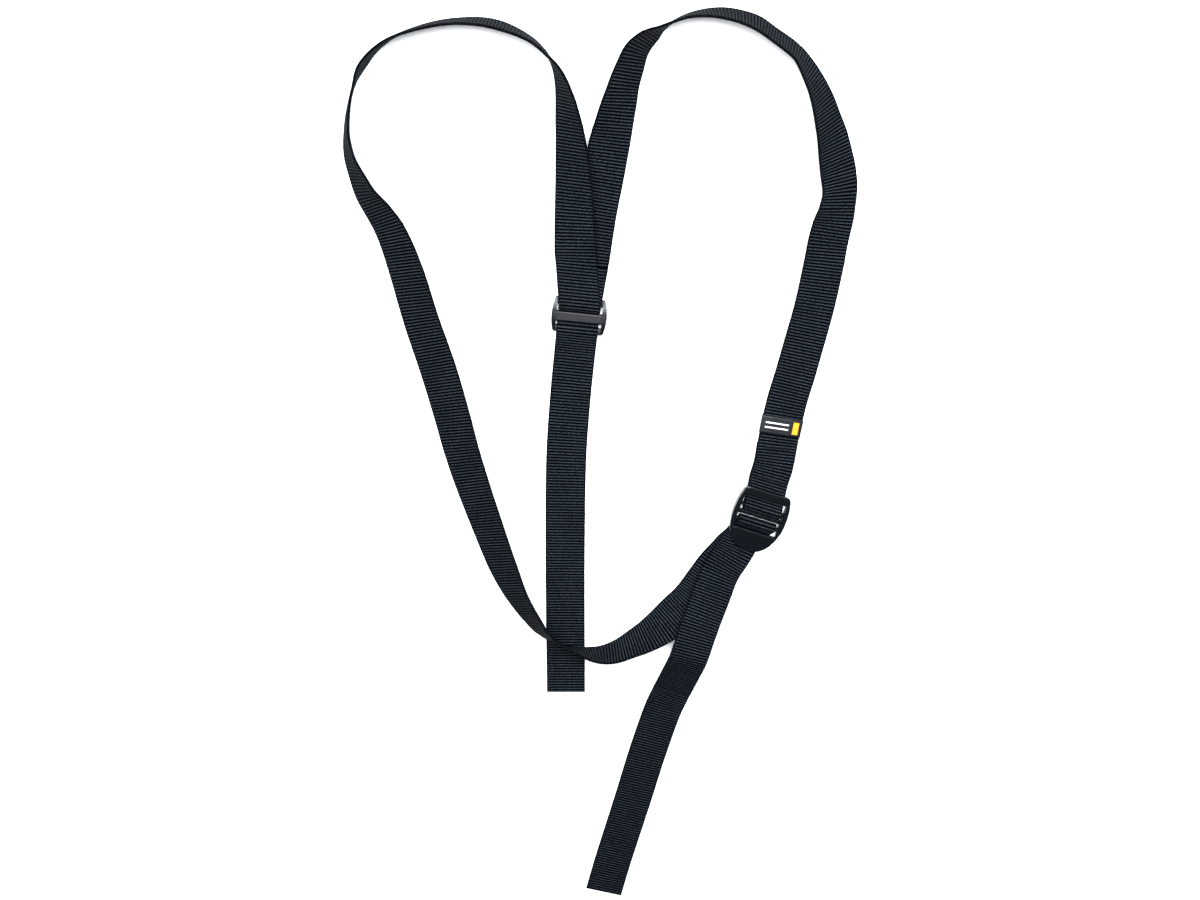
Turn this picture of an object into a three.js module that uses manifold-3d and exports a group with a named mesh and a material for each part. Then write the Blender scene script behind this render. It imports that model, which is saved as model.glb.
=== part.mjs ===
import * as THREE from "three";
import { mergeVertices } from "three/addons/utils/BufferGeometryUtils.js";
import Module from "manifold-3d";

// A climbing chest harness, laid out on a flat surface. Two webbings make it. The long one runs from
// its free back tail up through a three-bar slide, round the left shoulder loop, across the chest
// scoop and through a ladder lock to its free front tail. The right one is sewn round the slide's top
// bar and round the ladder lock's upper bar. Everything lies at its real size, in millimetres, with
// +Z up: flat where the webbing lies flat, and on its edge where it goes round a bend.

const wasm = await Module();
wasm.setup();

// Harness as laid out
const laidWidth = 300;
const laidLength = 590;

// Webbing
const webbingWidth = 25;
const webbingThickness = 1.8;
const clearance = 0.3;

// Three-bar slide: sizes along the strap, across it and up
const slideEndBar = 4.2;
const slideCentreBar = 6.2;
const slideBarHeight = 3;
const slideBarRound = 1;
const slidePlay = 1.3;
const slideRailWidth = 2.8;
const slideRailBulge = 1;
const slideCornerRadius = 3;
const slideCrown = 7;
const slideLift = 0.6;
const slideTurn = -6;

// Ladder lock
const lockBarDiameter = 2.6;
const lockBarSpread = 10.4;
const lockMiddleBarHeight = 1.7;
const lockPlateHeight = 2.6;
const lockPlay = 1.5;
const lockRailWidth = 3.2;
const lockRailRise = 0.7;
const lockEntry = 3.4;
const lockTopBar = 6;
const lockCornerRadius = 4;
const lockShoulderShare = 0.9;
const lockTongueLength = 14.6;
const lockTongueFullness = 0.72;
const lockTongueDrop = 0.45;
const lockTurn = -18.5;

// Sewn ends and label
const lockFoldLength = 30;
const slideFoldLength = 20;
const labelLength = 11;
const labelThickness = 0.7;
const labelGap = 6.5;

// Fineness of the solids
const laidStep = 7;
const bendStep = THREE.MathUtils.degToRad(24);
const settleLength = 16;
const shortestStep = 0.05;

const layer = webbingThickness + clearance;
const halfThickness = webbingThickness / 2;
const up = new THREE.Vector3(0, 0, 1);

// Places on the surface, as shares of the laid-out width and length from the middle of the layout.
const slidePlace = { x: -0.042, y: 0.1455 };
const lockPlace = { x: 0.332, y: -0.0725 };

// Laid stretches. Each row is one place of the webbing's centre line: x and y are shares of the laid
// width and length, roll is how far the webbing leans from flat in degrees, positive with its left
// edge up as it travels, and lift is how many layers of webbing it passes over.
const backTailRows = [
  { x: -0.0745, y: -0.286, roll: 0, lift: 0 },
  { x: -0.0745, y: -0.203, roll: 0, lift: 0 },
  { x: -0.0735, y: -0.102, roll: 0, lift: 0 },
  { x: -0.069, y: 0, roll: 0, lift: 0 },
];

const leftLoopRows = [
  { x: -0.0485, y: 0.22, roll: -10, lift: 1.6 },
  { x: -0.05, y: 0.254, roll: -24, lift: 0.3 },
  { x: -0.052, y: 0.298, roll: -36, lift: 0 },
  { x: -0.0587, y: 0.341, roll: -52, lift: 0 },
  { x: -0.0687, y: 0.3745, roll: -69, lift: 0 },
  { x: -0.0817, y: 0.394, roll: -79, lift: 0 },
  { x: -0.1, y: 0.407, roll: -87, lift: 0 },
  { x: -0.1313, y: 0.421, roll: -90, lift: 0 },
  { x: -0.1973, y: 0.4345, roll: -95, lift: 0 },
  { x: -0.2633, y: 0.437, roll: -92, lift: 0 },
  { x: -0.3287, y: 0.432, roll: -90.5, lift: 0 },
  { x: -0.3943, y: 0.42, roll: -87, lift: 0 },
  { x: -0.4367, y: 0.4015, roll: -85.5, lift: 0 },
  { x: -0.4617, y: 0.378, roll: -95, lift: 0 },
  { x: -0.4733, y: 0.3575, roll: -99, lift: 0 },
  { x: -0.48, y: 0.332, roll: -104, lift: 0 },
  { x: -0.4767, y: 0.3085, roll: -113, lift: 0 },
  { x: -0.4657, y: 0.2915, roll: -120, lift: 0 },
  { x: -0.45, y: 0.272, roll: -129, lift: 0 },
  { x: -0.4307, y: 0.2565, roll: -137, lift: 0 },
  { x: -0.412, y: 0.24, roll: -143, lift: 0 },
  { x: -0.3977, y: 0.222, roll: -147, lift: 0 },
  { x: -0.38, y: 0.1915, roll: -153, lift: 0 },
  { x: -0.3567, y: 0.144, roll: -157, lift: 0 },
  { x: -0.3247, y: 0.0875, roll: -160.5, lift: 0 },
  { x: -0.3, y: 0.037, roll: -159, lift: 0 },
  { x: -0.285, y: 0.0035, roll: -158, lift: 0 },
  { x: -0.2667, y: -0.0305, roll: -156, lift: 0 },
  { x: -0.2363, y: -0.08, roll: -150, lift: 0 },
  { x: -0.204, y: -0.129, roll: -144, lift: 0 },
  { x: -0.177, y: -0.1615, roll: -134, lift: 0 },
  { x: -0.139, y: -0.193, roll: -125, lift: 0 },
  { x: -0.118, y: -0.205, roll: -120, lift: 0.5 },
  { x: -0.082, y: -0.217, roll: -114, lift: 1 },
  { x: -0.0493, y: -0.2235, roll: -107, lift: 1 },
  { x: -0.0263, y: -0.2275, roll: -100, lift: 0.7 },
  { x: 0, y: -0.2295, roll: -92, lift: 0.25 },
  { x: 0.033, y: -0.226, roll: -82, lift: 0 },
  { x: 0.0657, y: -0.2175, roll: -73, lift: 0 },
  { x: 0.1, y: -0.208, roll: -61, lift: 0 },
  { x: 0.136, y: -0.196, roll: -43, lift: 0 },
  { x: 0.164, y: -0.1848, roll: -24, lift: 0 },
  { x: 0.1927, y: -0.1715, roll: -10, lift: 0 },
  { x: 0.221, y: -0.151, roll: -3, lift: 0 },
  { x: 0.245, y: -0.1325, roll: 0, lift: 0 },
  { x: 0.2677, y: -0.1185, roll: 0, lift: 0 },
];

const frontTailRows = [
  { x: 0.28, y: -0.1165, roll: -180, lift: 1 },
  { x: 0.2555, y: -0.1375, roll: -180, lift: 1.4 },
  { x: 0.2325, y: -0.166, roll: -181, lift: 4.2 },
  { x: 0.208, y: -0.197, roll: -182, lift: 7.4 },
  { x: 0.1915, y: -0.223, roll: -183, lift: 8.6 },
  { x: 0.1725, y: -0.254, roll: -182, lift: 5.6 },
  { x: 0.156, y: -0.2815, roll: -181, lift: 1.8 },
  { x: 0.1393, y: -0.305, roll: -181, lift: 0.5 },
  { x: 0.1193, y: -0.339, roll: -180, lift: 0 },
  { x: 0.1003, y: -0.373, roll: -180, lift: 0 },
  { x: 0.0743, y: -0.4235, roll: -180, lift: 0 },
  { x: 0.047, y: -0.4745, roll: -180, lift: 0 },
  { x: 0.029, y: -0.5085, roll: -180, lift: 0 },
  { x: 0.0085, y: -0.5505, roll: -180, lift: 0 },
];

const rightLoopRows = [
  { x: 0.359, y: -0.0153, roll: 0, lift: 1 },
  { x: 0.3667, y: 0.0141, roll: 0, lift: 1 },
  { x: 0.379, y: 0.0508, roll: 0, lift: 0.8 },
  { x: 0.3963, y: 0.0864, roll: 2, lift: 0.4 },
  { x: 0.412, y: 0.1203, roll: 4, lift: 0 },
  { x: 0.428, y: 0.1576, roll: 7, lift: 0 },
  { x: 0.4417, y: 0.2, roll: 8, lift: 0 },
  { x: 0.4477, y: 0.223, roll: 10, lift: 0 },
  { x: 0.4543, y: 0.2407, roll: 13, lift: 0 },
  { x: 0.4603, y: 0.2576, roll: 25, lift: 0 },
  { x: 0.4637, y: 0.2746, roll: 29, lift: 0 },
  { x: 0.4593, y: 0.2915, roll: 28, lift: 0 },
  { x: 0.4517, y: 0.3085, roll: 32, lift: 0 },
  { x: 0.4433, y: 0.3263, roll: 39, lift: 0 },
  { x: 0.4333, y: 0.3424, roll: 47, lift: 0 },
  { x: 0.4223, y: 0.3593, roll: 53, lift: 0 },
  { x: 0.408, y: 0.3763, roll: 60, lift: 0 },
  { x: 0.389, y: 0.3932, roll: 66, lift: 0 },
  { x: 0.3667, y: 0.4085, roll: 73, lift: 0 },
  { x: 0.3223, y: 0.425, roll: 75, lift: 0 },
  { x: 0.296, y: 0.434, roll: 75, lift: 0 },
  { x: 0.2633, y: 0.4405, roll: 78, lift: 0 },
  { x: 0.23, y: 0.444, roll: 81, lift: 0 },
  { x: 0.1973, y: 0.4445, roll: 86, lift: 0 },
  { x: 0.1643, y: 0.442, roll: 91, lift: 0 },
  { x: 0.138, y: 0.437, roll: 94, lift: 0 },
  { x: 0.1135, y: 0.4303, roll: 101, lift: 0 },
  { x: 0.0935, y: 0.4236, roll: 115, lift: 0 },
  { x: 0.069, y: 0.4107, roll: 125, lift: 0 },
  { x: 0.0545, y: 0.3925, roll: 132, lift: 0 },
  { x: 0.043, y: 0.3745, roll: 137, lift: 0 },
  { x: 0.0347, y: 0.3575, roll: 146, lift: 0 },
  { x: 0.0267, y: 0.3405, roll: 153, lift: 0 },
  { x: 0.0193, y: 0.3235, roll: 163, lift: 0 },
  { x: 0.0057, y: 0.288, roll: 172, lift: 0 },
  { x: -0.0077, y: 0.254, roll: 178, lift: 0 },
  { x: -0.018, y: 0.2203, roll: 180, lift: 0 },
];

function laidPoint({ x, y }) {
  return new THREE.Vector3(x * laidWidth, y * laidLength, 0);
}

// Height of the centre line of webbing that leans by the roll and rests on its lower edge.
function restHeight(roll) {
  const lean = THREE.MathUtils.degToRad(roll);
  return (webbingWidth / 2) * Math.abs(Math.sin(lean)) + halfThickness * Math.abs(Math.cos(lean));
}

function seatAt(place, turn) {
  const seat = new THREE.Group();
  seat.position.copy(laidPoint(place));
  seat.rotation.z = THREE.MathUtils.degToRad(turn);
  seat.updateMatrixWorld(true);
  return seat;
}

// The line of a belt round wheels in the plane of v, along the buckle, and z, up. A wheel turns the
// belt left with turn 1 and right with turn -1, and a wheel of no radius is an end of the belt.
function beltPath(wheels) {
  const headings = wheels.slice(1).map((next, i) => {
    const wheel = wheels[i];
    const gap = Math.hypot(next.v - wheel.v, next.z - wheel.z);
    const straight = Math.atan2(next.z - wheel.z, next.v - wheel.v);
    return straight - Math.asin((next.turn * next.radius - wheel.turn * wheel.radius) / gap);
  });
  const quarter = Math.PI / 2;
  return wheels.flatMap((wheel, i) => {
    const from = headings[Math.max(i - 1, 0)];
    const to = headings[Math.min(i, headings.length - 1)];
    const swept = THREE.MathUtils.euclideanModulo(wheel.turn * (to - from) + quarter, 2 * Math.PI) - quarter;
    const steps = Math.max(1, Math.ceil(Math.abs(swept) / bendStep));
    return Array.from({ length: steps + 1 }, (_, k) => {
      const heading = from + (wheel.turn * swept * k) / steps;
      return {
        v: wheel.v + wheel.turn * wheel.radius * Math.sin(heading),
        z: wheel.z - wheel.turn * wheel.radius * Math.cos(heading),
      };
    });
  });
}

const end = (v, z) => ({ v, z, radius: 0, turn: 0 });
const wheel = (v, z, radius, turn) => ({ v, z, radius, turn });

// Stations of webbing threaded through a buckle. The webbing sits to one side by shift. Past the bar
// at pivot, on the side given by beyond, it runs at a slant in degrees.
function threaded(seat, wheels, { shift, slant, pivot, beyond }) {
  const slope = Math.tan(THREE.MathUtils.degToRad(slant));
  const past = (v) => beyond * Math.max(0, beyond * (v - pivot));
  const across = new THREE.Vector3(-1, 0, 0).transformDirection(seat.matrixWorld);
  return beltPath(wheels).map(({ v, z }) => ({
    point: new THREE.Vector3(shift + past(v) * slope, v, z).applyMatrix4(seat.matrixWorld),
    across,
  }));
}

// Control rows in millimetres that continue a threaded stretch in its own direction.
function leadFrom(stations, atStart, roll) {
  const ordered = atStart ? stations : [...stations].reverse();
  const [edge, inner] = ordered;
  const outward = edge.point.clone().sub(inner.point).setZ(0).normalize();
  const lift = edge.point.z - halfThickness;
  const beyond = edge.point.clone().addScaledVector(outward, settleLength / 3);
  return { edge: edge.point, beyond, lift, roll, across: edge.across };
}

// Stations along a laid stretch: the rows of a table, with a threaded stretch before or after it.
function laidStretch(rows, before, after) {
  const marks = rows.map((row) => ({ at: laidPoint(row), roll: row.roll, lift: row.lift * layer }));
  if (before) {
    marks.unshift(
      { at: before.edge, roll: before.roll, lift: before.lift },
      { at: before.beyond, roll: before.roll, lift: before.lift },
    );
  }
  if (after) {
    marks.push(
      { at: after.beyond, roll: after.roll, lift: after.lift },
      { at: after.edge, roll: after.roll, lift: after.lift },
    );
  }
  const plan = new THREE.CatmullRomCurve3(marks.map(({ at }) => at.clone().setZ(0)), false, "centripetal");
  const lean = new THREE.CatmullRomCurve3(
    marks.map(({ roll, lift }) => new THREE.Vector3(roll, lift, 0)),
    false,
    "chordal",
  );
  const stations = [];
  marks.slice(1).forEach((mark, i) => {
    const steps = Math.max(1, Math.round(mark.at.distanceTo(marks[i].at) / laidStep));
    for (let k = i === 0 ? 0 : 1; k <= steps; k += 1) {
      const t = (i + k / steps) / (marks.length - 1);
      const { x: roll, y: lift } = lean.getPoint(t);
      const point = plan.getPoint(t);
      point.z = restHeight(roll) + Math.max(lift, 0);
      stations.push({ point, roll });
    }
  });
  return withAcross(stations, before, after);
}

// Adds the direction of the webbing's width to each station, eased into the buckles' at the ends.
function withAcross(stations, before, after) {
  const distances = [0];
  stations.slice(1).forEach(({ point }, i) => {
    distances.push(distances[i] + point.distanceTo(stations[i].point));
  });
  const total = distances[distances.length - 1];
  return stations.map(({ point, roll }, i) => {
    const previous = stations[Math.max(i - 1, 0)].point;
    const next = stations[Math.min(i + 1, stations.length - 1)].point;
    const along = next.clone().sub(previous).normalize();
    const left = up.clone().cross(along).normalize();
    const lean = THREE.MathUtils.degToRad(roll);
    const across = left.multiplyScalar(Math.cos(lean)).addScaledVector(up, Math.sin(lean));
    across.addScaledVector(along, -across.dot(along)).normalize();
    if (before) across.lerp(before.across, 1 - THREE.MathUtils.smoothstep(distances[i], 0, settleLength));
    if (after) across.lerp(after.across, 1 - THREE.MathUtils.smoothstep(total - distances[i], 0, settleLength));
    return { point, across: across.normalize() };
  });
}

// Solid webbing through its stations: a closed strip of the webbing's width and thickness.
function webbingGeometry(stations) {
  const kept = stations.filter(
    ({ point }, i) => i === 0 || point.distanceTo(stations[i - 1].point) > shortestStep,
  );
  const corners = [[1, 1], [-1, 1], [-1, -1], [1, -1]];
  const positions = kept.flatMap(({ point, across }, i) => {
    const previous = kept[Math.max(i - 1, 0)].point;
    const next = kept[Math.min(i + 1, kept.length - 1)].point;
    const face = next.clone().sub(previous).cross(across).normalize();
    return corners.flatMap(([side, layerSide]) =>
      point
        .clone()
        .addScaledVector(across, (side * webbingWidth) / 2)
        .addScaledVector(face, layerSide * halfThickness)
        .toArray(),
    );
  });
  const faces = [0, 3, 2, 0, 2, 1];
  for (let i = 0; i + 1 < kept.length; i += 1) {
    for (let k = 0; k < 4; k += 1) {
      const here = 4 * i + k;
      const beside = 4 * i + ((k + 1) % 4);
      faces.push(here, beside, beside + 4, here, beside + 4, here + 4);
    }
  }
  const last = 4 * (kept.length - 1);
  faces.push(last, last + 1, last + 2, last, last + 2, last + 3);
  const geometry = new THREE.BufferGeometry();
  geometry.setAttribute("position", new THREE.Float32BufferAttribute(positions, 3));
  geometry.setIndex(faces);
  geometry.computeVertexNormals();
  return geometry;
}

function solid(geometry) {
  const bare = geometry.clone();
  bare.deleteAttribute("normal");
  bare.deleteAttribute("uv");
  const merged = mergeVertices(bare, 1e-4);
  return new wasm.Manifold(
    new wasm.Mesh({
      numProp: 3,
      vertProperties: new Float32Array(merged.attributes.position.array),
      triVerts: new Uint32Array(merged.index.array),
    }),
  );
}

function geometryOf(manifold) {
  const { numProp, vertProperties, triVerts } = manifold.getMesh();
  const positions = new Float32Array((vertProperties.length / numProp) * 3);
  for (let i = 0; i < positions.length / 3; i += 1) {
    positions.set(vertProperties.subarray(i * numProp, i * numProp + 3), i * 3);
  }
  const geometry = new THREE.BufferGeometry();
  geometry.setAttribute("position", new THREE.BufferAttribute(positions, 3));
  geometry.setIndex(new THREE.BufferAttribute(new Uint32Array(triVerts), 1));
  geometry.computeVertexNormals();
  return geometry;
}

function block(u0, u1, v0, v1, z0, z1) {
  const box = new THREE.BoxGeometry(u1 - u0, v1 - v0, z1 - z0);
  return solid(box.translate((u0 + u1) / 2, (v0 + v1) / 2, (z0 + z1) / 2));
}

// Turns a section drawn in v and z, and extruded, to lie across the buckle.
const toAcross = new THREE.Matrix4().makeBasis(
  new THREE.Vector3(0, 1, 0),
  new THREE.Vector3(0, 0, 1),
  new THREE.Vector3(1, 0, 0),
);

// A bar across the buckle, whose section in v and z has round edges.
function bar(halfLength, v0, v1, z0, z1, round) {
  const section = new THREE.Shape();
  section.absarc(v1 - round, z1 - round, round, 0, Math.PI / 2);
  section.absarc(v0 + round, z1 - round, round, Math.PI / 2, Math.PI);
  section.absarc(v0 + round, z0 + round, round, Math.PI, 1.5 * Math.PI);
  section.absarc(v1 - round, z0 + round, round, 1.5 * Math.PI, 2 * Math.PI);
  const geometry = new THREE.ExtrudeGeometry(section, {
    depth: 2 * halfLength,
    bevelEnabled: false,
    curveSegments: 4,
  });
  return solid(geometry.applyMatrix4(toAcross).translate(-halfLength, 0, 0));
}

function plate(outline, z0, z1, edge) {
  const geometry = new THREE.ExtrudeGeometry(outline, {
    depth: z1 - z0 - 2 * edge,
    bevelSize: edge,
    bevelOffset: -edge,
    bevelThickness: edge,
    bevelSegments: 2,
    curveSegments: 8,
  });
  return solid(geometry.translate(0, 0, z0 + edge));
}

// Slide: places of its bars along v, worked out from what passes through its two slots.
const slideUpperSlot = 2 * webbingThickness + 3 * clearance;
const slideLowerSlot = webbingThickness + 2 * clearance;
const slide = {
  centreLow: -slideCentreBar / 2,
  centreHigh: slideCentreBar / 2,
  topIn: slideCentreBar / 2 + slideUpperSlot,
  bottomIn: -slideCentreBar / 2 - slideLowerSlot,
  barLow: layer,
  barHigh: layer + slideBarHeight,
  opening: webbingWidth / 2 + slidePlay,
};
slide.topOut = slide.topIn + slideEndBar;
slide.bottomOut = slide.bottomIn - slideEndBar;

// The slide's rails arch over its bars, so their ends are as low as the bars.
function slideArch(reach) {
  const { topOut, bottomOut, barHigh } = slide;
  const middle = (topOut + bottomOut) / 2;
  const arch = new THREE.Shape();
  arch.moveTo(bottomOut, slideLift);
  arch.lineTo(topOut, slideLift);
  arch.lineTo(topOut, barHigh);
  arch.quadraticCurveTo(middle, 2 * (slideLift + slideCrown) - barHigh, bottomOut, barHigh);
  const geometry = new THREE.ExtrudeGeometry(arch, { depth: 2 * reach, bevelEnabled: false, curveSegments: 10 });
  return solid(geometry.applyMatrix4(toAcross).translate(-reach, 0, 0));
}

function slideGeometry() {
  const { opening, topOut, bottomOut, barLow, barHigh } = slide;
  const side = opening + slideRailWidth;
  const endSide = side - slideRailBulge;
  const middle = (topOut + bottomOut) / 2;
  const outline = new THREE.Shape();
  outline.moveTo(endSide, bottomOut + slideCornerRadius);
  outline.quadraticCurveTo(side + slideRailBulge, middle, endSide, topOut - slideCornerRadius);
  outline.quadraticCurveTo(endSide, topOut, endSide - slideCornerRadius, topOut);
  outline.lineTo(slideCornerRadius - endSide, topOut);
  outline.quadraticCurveTo(-endSide, topOut, -endSide, topOut - slideCornerRadius);
  outline.quadraticCurveTo(-side - slideRailBulge, middle, -endSide, bottomOut + slideCornerRadius);
  outline.quadraticCurveTo(-endSide, bottomOut, slideCornerRadius - endSide, bottomOut);
  outline.lineTo(endSide - slideCornerRadius, bottomOut);
  outline.quadraticCurveTo(endSide, bottomOut, endSide, bottomOut + slideCornerRadius);
  const crown = slideLift + slideCrown;
  const rails = plate(outline, slideLift, crown, slideBarRound)
    .intersect(slideArch(side + slideRailBulge))
    .subtract(block(-opening, opening, bottomOut - slideEndBar, topOut + slideEndBar, 0, 2 * crown));
  const reach = opening + slideRailWidth / 4;
  return geometryOf(
    [
      [slide.topIn, topOut],
      [slide.centreLow, slide.centreHigh],
      [bottomOut, slide.bottomIn],
    ].reduce((body, [v0, v1]) => body.add(bar(reach, v0, v1, barLow, barHigh, slideBarRound)), rails),
  );
}

// Ladder lock: its two inner bars carry webbing wrapped right round them, and a low middle bar fills
// the slot between the two wraps.
const lockWrap = lockBarDiameter / 2 + clearance + webbingThickness;
const lockBarHeight = layer + lockBarDiameter / 2;
const lock = {
  plateLow: 2 * layer,
  plateHigh: 2 * layer + lockPlateHeight,
  nose: lockPlateHeight / 2,
  upperBar: lockBarSpread / 2,
  lowerBar: -lockBarSpread / 2,
  opening: webbingWidth / 2 + lockPlay,
};
lock.topIn = lock.upperBar + lockWrap + lockEntry;
lock.topOut = lock.topIn + lockTopBar;
lock.tongueIn = lock.lowerBar - lockWrap - clearance * 3;
lock.tongueTip = lock.tongueIn - lockTongueLength;
lock.side = lock.opening + lockRailWidth;
lock.middleBar = lockBarSpread / 2 - lockWrap - clearance;
lock.noseHeight = lock.plateLow + lock.nose;

// The ladder lock from above: widest by its bars, narrower at the top, with a shield-shaped tongue.
function lockOutline() {
  const { side, topOut, tongueTip } = lock;
  const shoulder = side * lockShoulderShare;
  const cheek = side * lockTongueFullness;
  const drop = tongueTip * lockTongueDrop;
  const outline = new THREE.Shape();
  outline.moveTo(side, 0);
  outline.quadraticCurveTo(side, topOut / 2, shoulder, topOut - lockCornerRadius);
  outline.quadraticCurveTo(shoulder, topOut, shoulder - lockCornerRadius, topOut);
  outline.lineTo(lockCornerRadius - shoulder, topOut);
  outline.quadraticCurveTo(-shoulder, topOut, -shoulder, topOut - lockCornerRadius);
  outline.quadraticCurveTo(-side, topOut / 2, -side, 0);
  outline.bezierCurveTo(-side, drop, -cheek, tongueTip, 0, tongueTip);
  outline.bezierCurveTo(cheek, tongueTip, side, drop, side, 0);
  return outline;
}

function lockGeometry() {
  const { opening, side, plateLow, plateHigh, nose, topIn, topOut, tongueIn, tongueTip } = lock;
  const edge = nose / 2;
  const railHigh = plateHigh + lockRailRise;
  const railBottom = lock.lowerBar - lockBarDiameter / 2 - clearance;
  const rails = plate(lockOutline(), layer, railHigh, edge).intersect(
    block(-side, side, railBottom, topIn + lockTopBar / 2, 0, railHigh),
  );
  const reach = opening + clearance;
  const middleBar = bar(reach, -lock.middleBar, lock.middleBar, layer, layer + lockMiddleBarHeight, nose / 2);
  const underside = block(-opening, opening, tongueTip - nose, topOut + nose, 0, plateLow);
  const middle = block(-opening, opening, tongueIn - nose, topIn + nose, 0, 2 * railHigh);
  return geometryOf(
    plate(lockOutline(), plateLow, plateHigh, edge)
      .add(rails)
      .subtract(underside)
      .subtract(middle)
      .add(bar(reach, tongueIn - 2 * nose, tongueIn, plateLow, plateHigh, nose))
      .add(bar(reach, topIn, topIn + 2 * nose, plateLow, plateHigh, nose))
      .add(roundBar(reach, lock.upperBar))
      .add(roundBar(reach, lock.lowerBar))
      .add(middleBar),
  );
}

function roundBar(reach, v) {
  const radius = lockBarDiameter / 2;
  return bar(reach, v - radius, v + radius, lockBarHeight - radius, lockBarHeight + radius, radius);
}

// Threading through the slide. The long webbing goes over the bottom bar, behind the centre bar and
// over the top bar. The right webbing is wrapped round the top bar beneath it, and its sewn end lies
// back on its own lead.
const slideBend = slideBarRound + clearance + halfThickness;
const slideEase = 9;
const slideLeadSlant = -10;
const slideArmSlant = 4.5;

function longThroughSlide(seat) {
  const { centreLow, centreHigh, topIn, topOut, bottomIn, bottomOut, barLow, barHigh } = slide;
  const overWrap = slideBend + layer;
  const crown = barHigh - slideBarRound;
  return threaded(
    seat,
    [
      end(bottomOut - 3 * slideEase, halfThickness),
      wheel(bottomOut - 1.6 * slideEase, halfThickness + slideEase, slideEase, 1),
      wheel(bottomOut + slideBarRound, crown, slideBend, -1),
      wheel(bottomIn - slideBarRound, crown, slideBend, -1),
      wheel(centreLow + slideBarRound, barLow + slideBarRound, slideBend, 1),
      wheel(centreHigh - slideBarRound, barLow + slideBarRound, slideBend, 1),
      wheel(topIn + slideBarRound, crown, overWrap, -1),
      wheel(topOut - slideBarRound, crown, overWrap, -1),
      wheel(topOut + 1.5 * slideEase, 2 * layer + halfThickness + slideEase, slideEase, 1),
      end(topOut + 2 * slideEase, 2 * layer + halfThickness),
    ],
    { shift: -clearance, slant: slideLeadSlant, pivot: topIn, beyond: 1 },
  );
}

function rightThroughSlide(seat) {
  const { topIn, topOut, barLow, barHigh } = slide;
  const foldEnd = topOut + slideFoldLength;
  return threaded(
    seat,
    [
      end(foldEnd, halfThickness),
      wheel(topIn + slideBarRound, barLow + slideBarRound, slideBend, -1),
      wheel(topIn + slideBarRound, barHigh - slideBarRound, slideBend, -1),
      wheel(topOut - slideBarRound, barHigh - slideBarRound, slideBend, -1),
      wheel(topOut + 1.3 * slideEase, layer + halfThickness + slideEase, slideEase, 1),
      end(foldEnd - clearance, layer + halfThickness),
    ],
    { shift: 0, slant: slideArmSlant, pivot: topIn, beyond: 1 },
  );
}

// Threading through the ladder lock. Both webbings wrap one inner bar each. The long one comes from
// below, over the lower bar and out between the tongue and its own incoming strand.
const lockBend = lockBarDiameter / 2 + clearance + halfThickness;
const lockLoadSlant = 21;
const lockLoadShift = 0.5;
const lockArmSlant = -8.5;

function rightThroughLock(seat) {
  return threaded(
    seat,
    [
      end(lock.topOut + 2 * clearance, halfThickness),
      wheel(lock.upperBar, lockBarHeight, lockBend, -1),
      wheel(lock.topIn + lock.nose, lock.noseHeight, lock.nose + clearance + halfThickness, 1),
      end(lock.topOut + 2 * clearance, layer + halfThickness),
    ],
    { shift: 2 * clearance, slant: lockArmSlant, pivot: lock.upperBar, beyond: 1 },
  );
}

function longThroughLock(seat) {
  return threaded(
    seat,
    [
      end(lock.tongueIn - lockTongueLength / 3, halfThickness),
      wheel(lock.lowerBar, lockBarHeight, lockBend, 1),
      wheel(lock.tongueIn - lock.nose, lock.noseHeight, lock.nose + clearance + halfThickness, -1),
      end(lock.tongueIn - lockTongueLength / 3, layer + halfThickness),
    ],
    { shift: lockLoadShift, slant: lockLoadSlant, pivot: lock.lowerBar, beyond: -1 },
  );
}

const slideSeat = seatAt(slidePlace, slideTurn);
const lockSeat = seatAt(lockPlace, lockTurn);

// The long webbing is two solids, which meet at a fine cut beside the tongue.
function longWebbing() {
  const inSlide = longThroughSlide(slideSeat);
  const inLock = longThroughLock(lockSeat);
  const [load, tail] = cutInLock(inLock);
  return {
    loop: [
      ...laidStretch(backTailRows, null, leadFrom(inSlide, true, 0)),
      ...inSlide,
      ...laidStretch(leftLoopRows, leadFrom(inSlide, false, 0), leadFrom(inLock, true, 0)),
      ...load,
    ],
    tail: [...tail, ...laidStretch(frontTailRows, leadFrom(inLock, false, -180), null)],
  };
}

// Cuts the webbing in two on its straight run down from the lower bar, just past its highest station.
function cutInLock(stations) {
  const heights = stations.map(({ point }) => point.z);
  const top = heights.indexOf(Math.max(...heights));
  const drops = heights.slice(top, -1).map((z, i) => z - heights[top + i + 1]);
  const k = top + drops.indexOf(Math.max(...drops));
  const [here, next] = [stations[k], stations[k + 1]];
  const along = next.point.clone().sub(here.point).normalize();
  const middle = here.point.clone().lerp(next.point, 0.5);
  const beside = (side) => ({
    point: middle.clone().addScaledVector(along, (side * clearance) / 2),
    across: here.across,
  });
  return [
    [...stations.slice(0, k + 1), beside(-1)],
    [beside(1), ...stations.slice(k + 1)],
  ];
}

function rightWebbing() {
  const inLock = rightThroughLock(lockSeat);
  const inSlide = rightThroughSlide(slideSeat);
  const arm = laidStretch(rightLoopRows, leadFrom(inLock, false, 0), leadFrom(inSlide, true, 180));
  return { fold: foldUnder(arm), inLock, arm, inSlide };
}

// The sewn end of the right webbing lies under the first stretch of its own arm.
function foldUnder(arm) {
  const start = arm[0].point;
  const under = arm.filter(({ point }) => point.distanceTo(start) < lockFoldLength);
  return under
    .map(({ point, across }) => ({ point: point.clone().setZ(point.z - layer), across }))
    .reverse();
}

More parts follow.
